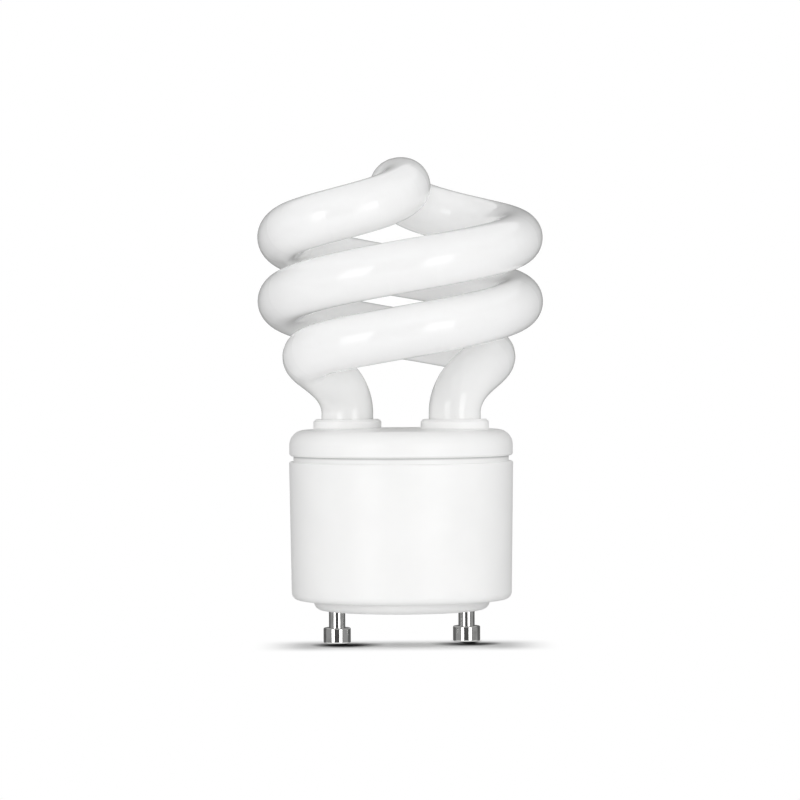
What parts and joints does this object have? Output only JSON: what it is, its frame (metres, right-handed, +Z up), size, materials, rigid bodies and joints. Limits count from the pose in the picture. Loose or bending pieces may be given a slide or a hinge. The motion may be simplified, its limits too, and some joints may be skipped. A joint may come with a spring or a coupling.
{
  "type": "spiral fluorescent lamp",
  "caption": "White double-coil glass tube on a round plastic ballast housing, with contact pins under its base for a twist-lock lamp socket.",
  "frame": {"origin": "on the lamp's axis, in the plane of the contact pins' ends", "axes": "+Z up the lamp's axis from the pins to the coil's crest; X through the two pins; the picture looks along +Y turned 8 degrees towards +X"},
  "size_m": [0.0522, 0.0522, 0.0889],
  "materials": {
    "tube_glass": "gloss",
    "cap_plastic": "satin",
    "can_plastic": "satin",
    "pin_metal": "polished",
    "cement": "matte",
    "tinned_wire": "satin",
    "board_laminate": "matte",
    "capacitor_sleeve": "gloss",
    "ferrite": "matte",
    "enamelled_wire": "gloss",
    "bobbin_plastic": "satin",
    "film_epoxy": "gloss",
    "black_epoxy": "matte",
    "resistor_coat": "satin",
    "trigger_glass": "gloss"
  },
  "bodies": {
    "root": {"spiral_tube": "tube_glass", "upper_cap": "cap_plastic", "lower_can": "can_plastic", "contact_pin_left": "pin_metal", "contact_pin_right": "pin_metal", "tube_cement": "cement", "tube_lead_wires": "tinned_wire", "wrap_posts": "tinned_wire", "pin_lead_wires": "tinned_wire", "circuit_board": "board_laminate", "electrolytic_capacitor": "capacitor_sleeve", "toroid_core": "ferrite", "toroid_windings": "enamelled_wire", "choke_core_upper": "ferrite", "choke_core_lower": "ferrite", "choke_bobbin": "bobbin_plastic", "choke_winding": "enamelled_wire", "resonant_capacitor": "film_epoxy", "blocking_capacitor": "film_epoxy", "switching_transistor_rear": "black_epoxy", "switching_transistor_front": "black_epoxy", "filter_inductor_core": "ferrite", "filter_inductor_winding": "enamelled_wire", "fusible_resistor": "resistor_coat", "rectifier_diodes": "black_epoxy", "trigger_diode": "trigger_glass", "bias_resistors": "resistor_coat"}
  },
  "joints": []
}
